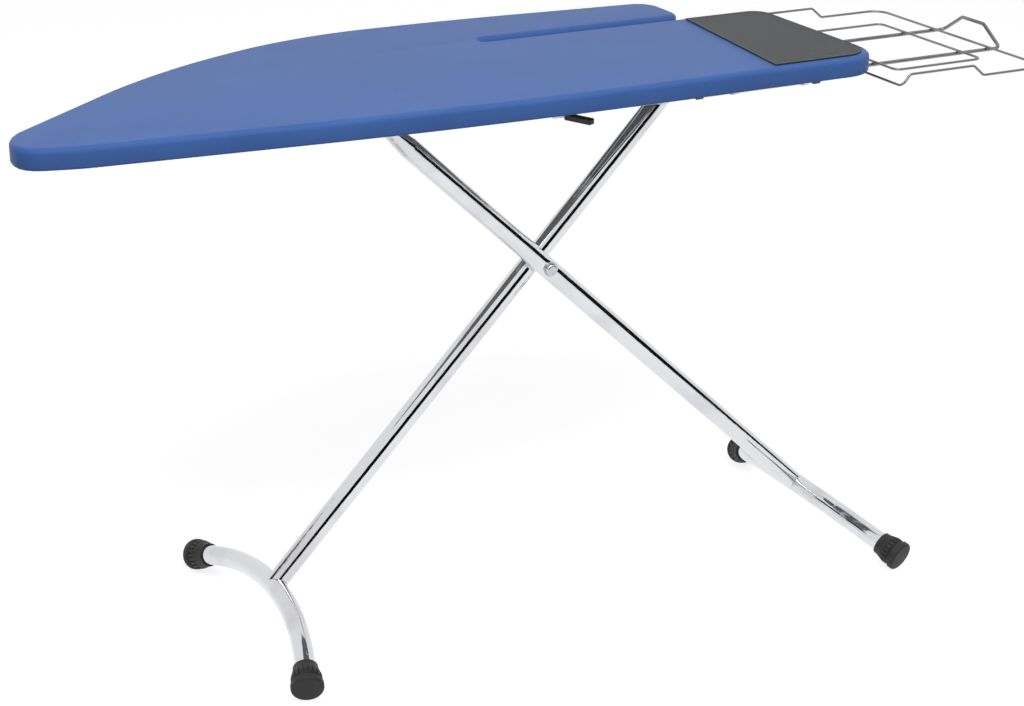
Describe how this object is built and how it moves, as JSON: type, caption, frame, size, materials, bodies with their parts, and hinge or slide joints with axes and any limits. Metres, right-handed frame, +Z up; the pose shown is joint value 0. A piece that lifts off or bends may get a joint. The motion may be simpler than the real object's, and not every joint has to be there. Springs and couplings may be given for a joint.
{
  "type": "folding ironing board",
  "caption": "Folding ironing board on crossed tube legs with curved feet, a slotted sleeve board beside the main board and a wire iron rest at the wide end.",
  "frame": {"origin": "on the floor, under the middle of the whole outline", "axes": "+X along the board towards the iron rest, +Y across towards the sleeve board, +Z up"},
  "size_m": [1.639, 0.6118, 0.8525],
  "materials": {
    "cover": "blue woven cotton",
    "rest_pad": "dark grey heat-proof cloth",
    "felt": "soft pressed felt",
    "white_steel": "light grey powder coat",
    "zinc": "bright zinc plate",
    "chrome": "polished chrome plate",
    "cap_rubber": "matt black rubber",
    "black_plastic": "matt black moulded plastic",
    "white_plastic": "white moulded plastic"
  },
  "bodies": {
    "board": {"board_cover": "cover", "iron_rest_pad": "rest_pad", "felt_underlay": "felt", "board_rim": "white_steel", "board_mesh": "white_steel", "nose_brace": "white_steel", "hinge_brace": "white_steel", "middle_brace": "white_steel", "end_brace": "white_steel", "sleeve_brace": "white_steel", "hinge_bracket_near": "zinc", "hinge_bracket_far": "zinc", "bracket_rivets": "zinc", "guide_rail_near": "zinc", "guide_rail_far": "zinc", "rail_rivets": "zinc", "guide_screws": "zinc", "bearing_screws": "zinc", "lever_bearing_nose": "black_plastic", "lever_bearing_middle": "black_plastic", "lever_bearing_end": "black_plastic", "rest_guide_near_inner": "black_plastic", "rest_guide_near_outer": "black_plastic", "rest_guide_far_inner": "black_plastic", "rest_guide_far_outer": "black_plastic"},
    "release": {"lever_shaft": "zinc", "catch_comb": "zinc", "lever_arm": "zinc", "lever_grip": "black_plastic"},
    "iron_rest": {"rest_rails": "chrome", "rest_tray_wire": "chrome", "rest_inner_frame": "chrome", "rest_stop_collars": "zinc"},
    "hinged_leg": {"hinged_leg_tube": "chrome", "hinged_leg_foot_bar": "chrome", "hinged_leg_cap_near": "cap_rubber", "hinged_leg_cap_far": "cap_rubber", "hinge_sleeve": "zinc", "hinge_rod": "zinc", "hinge_rod_clips": "zinc", "pivot_bolt": "zinc", "pivot_nut": "zinc", "pivot_washers": "zinc"},
    "sliding_leg": {"sliding_leg_tube": "chrome", "sliding_leg_plug": "black_plastic", "top_bar": "zinc", "glide_near": "white_plastic", "glide_far": "white_plastic", "sliding_leg_foot_bar": "chrome", "sliding_leg_cap_near": "cap_rubber", "sliding_leg_cap_far": "cap_rubber", "pivot_spacer": "white_plastic"}
  },
  "joints": [
    {"name": "leg_fold", "type": "hinge", "parent": "board", "child": "hinged_leg", "pos_m": [-0.2745, -0.0311, 0.805], "axis": [0, -1, 0], "range_deg": [-7.5, 40]},
    {"name": "leg_cross", "type": "hinge", "parent": "hinged_leg", "child": "sliding_leg", "pos_m": [0.00601, -0.0311, 0.53694], "axis": [0, -1, 0], "range_deg": [-82.4, 15.45]},
    {"name": "lever_squeeze", "type": "hinge", "parent": "board", "child": "release", "pos_m": [-0.0047, -0.1031, 0.7925], "axis": [-1, 0, 0], "range_deg": [0, 18], "stiffness_Nm_per_rad": 1.5, "springref_deg": -17.19},
    {"name": "rest_pull", "type": "slide", "parent": "board", "child": "iron_rest", "axis": [1, 0, 0], "range_m": [0, 0.07]}
  ],
  "couplings": [
    {"joint": "leg_cross", "follows": "leg_fold", "ratio": -2.06}
  ]
}
